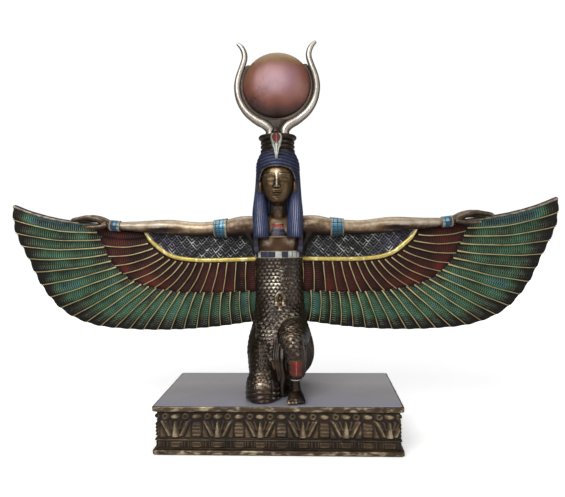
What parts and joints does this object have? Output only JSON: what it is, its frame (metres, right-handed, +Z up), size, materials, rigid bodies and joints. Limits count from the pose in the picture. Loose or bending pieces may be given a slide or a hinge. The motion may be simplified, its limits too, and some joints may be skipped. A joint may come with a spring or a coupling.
{
  "type": "winged kneeling goddess statuette",
  "caption": "Bronze-finished figurine of a kneeling goddess with spread painted wings and a horned sun disc, on a rectangular plinth with a lotus frieze.",
  "frame": {"origin": "centre of the plinth's underside", "axes": "+Z up; she faces -Y; +X is her left side, along the spread wings"},
  "size_m": [0.398, 0.088, 0.281],
  "materials": {
    "bronze": "cold-cast bronze resin with a dark brown patina, burnished gold on raised edges, painted bands",
    "plinth": "cast resin, satin dark lacquer on top, aged bronze relief on the sides",
    "wing": "painted resin feathers in green and dark red with pale gold quills and a gold band",
    "crown": "satin rose-copper disc between burnished pewter-bronze horns"
  },
  "bodies": {
    "root": {"plinth": "plinth", "figure": "bronze", "wing_left": "wing", "wing_right": "wing", "sun_crown": "crown"}
  },
  "joints": []
}
